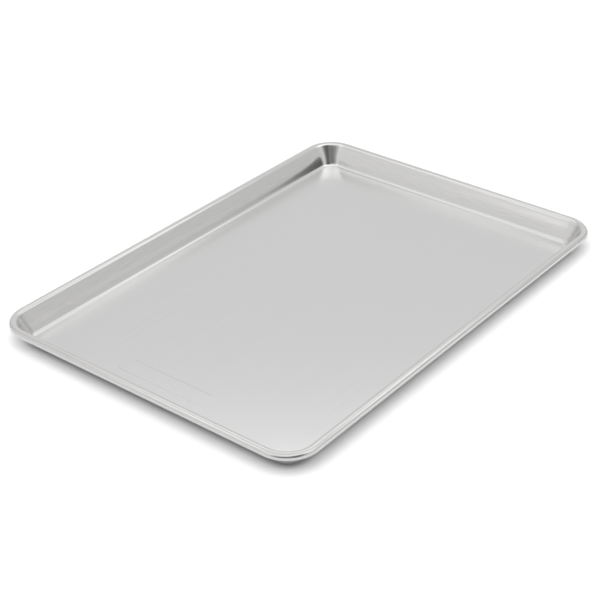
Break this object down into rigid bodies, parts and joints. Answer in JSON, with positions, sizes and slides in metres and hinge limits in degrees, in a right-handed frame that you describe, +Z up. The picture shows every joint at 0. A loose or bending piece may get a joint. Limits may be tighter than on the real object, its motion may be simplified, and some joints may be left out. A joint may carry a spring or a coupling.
{
  "type": "jelly roll pan",
  "caption": "Shallow rectangular baking pan drawn from one aluminium sheet, with rounded corners, leaning walls and an edge curled round a hidden steel wire.",
  "frame": {"origin": "middle of the underside, on the surface that the pan stands on", "axes": "+X along the long sides, +Y along the short sides, +Z up out of the pan"},
  "size_m": [0.416, 0.2894, 0.0195],
  "materials": {
    "pan_sheet": "satin, fine rolled grain, unpainted",
    "rim_wire": "dull zinc-coated wire"
  },
  "bodies": {
    "root": {"pan_shell": "pan_sheet", "rim_wire": "rim_wire"}
  },
  "joints": []
}
